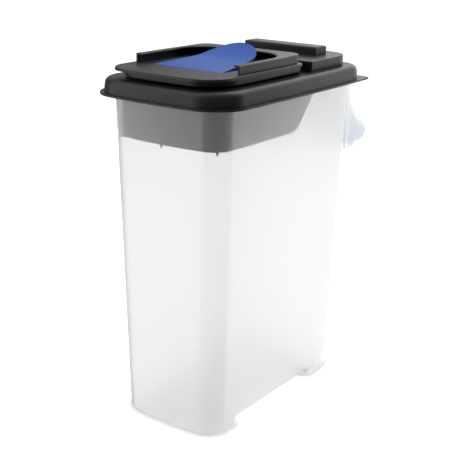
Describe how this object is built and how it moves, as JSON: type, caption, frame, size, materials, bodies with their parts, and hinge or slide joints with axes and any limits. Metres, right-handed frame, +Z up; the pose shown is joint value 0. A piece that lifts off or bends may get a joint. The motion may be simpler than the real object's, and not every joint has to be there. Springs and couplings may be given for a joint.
{
  "type": "pour-spout food storage container",
  "caption": "Tall translucent storage tub with moulded hand grip, inner bag collar, and black push-on lid with hinged pour door and blue pull tab.",
  "frame": {"origin": "centre of the overall footprint box, at floor level under the feet", "axes": "+Z up, +Y towards the hand grip, -Y towards the pouring end, +X across"},
  "size_m": [0.1872, 0.3486, 0.4209],
  "materials": {
    "tub_plastic": "translucent frosted polypropylene",
    "black_plastic": "satin fine-textured polypropylene",
    "blue_plastic": "satin"
  },
  "bodies": {
    "container": {"container_body": "tub_plastic"},
    "collar": {"bag_collar": "black_plastic"},
    "lid": {"lid": "black_plastic", "rear_deck": "black_plastic", "door_hinge_pin": "black_plastic"},
    "door": {"pour_door": "black_plastic", "door_guard": "black_plastic", "tab_pin": "black_plastic"},
    "tab": {"pull_tab": "blue_plastic"}
  },
  "joints": [
    {"name": "collar_lift", "type": "slide", "parent": "container", "child": "collar", "axis": [0, 0, 1], "range_m": [0, 0.1]},
    {"name": "lid_lift", "type": "slide", "parent": "collar", "child": "lid", "axis": [0, 0, 1], "range_m": [0, 0.06]},
    {"name": "door_hinge", "type": "hinge", "parent": "lid", "child": "door", "pos_m": [0, 0.0163, 0.401], "axis": [-1, 0, 0], "range_deg": [0, 95]},
    {"name": "tab_lift", "type": "hinge", "parent": "door", "child": "tab", "pos_m": [0, -0.1087, 0.4006], "axis": [1, 0, 0], "range_deg": [0, 85]}
  ]
}
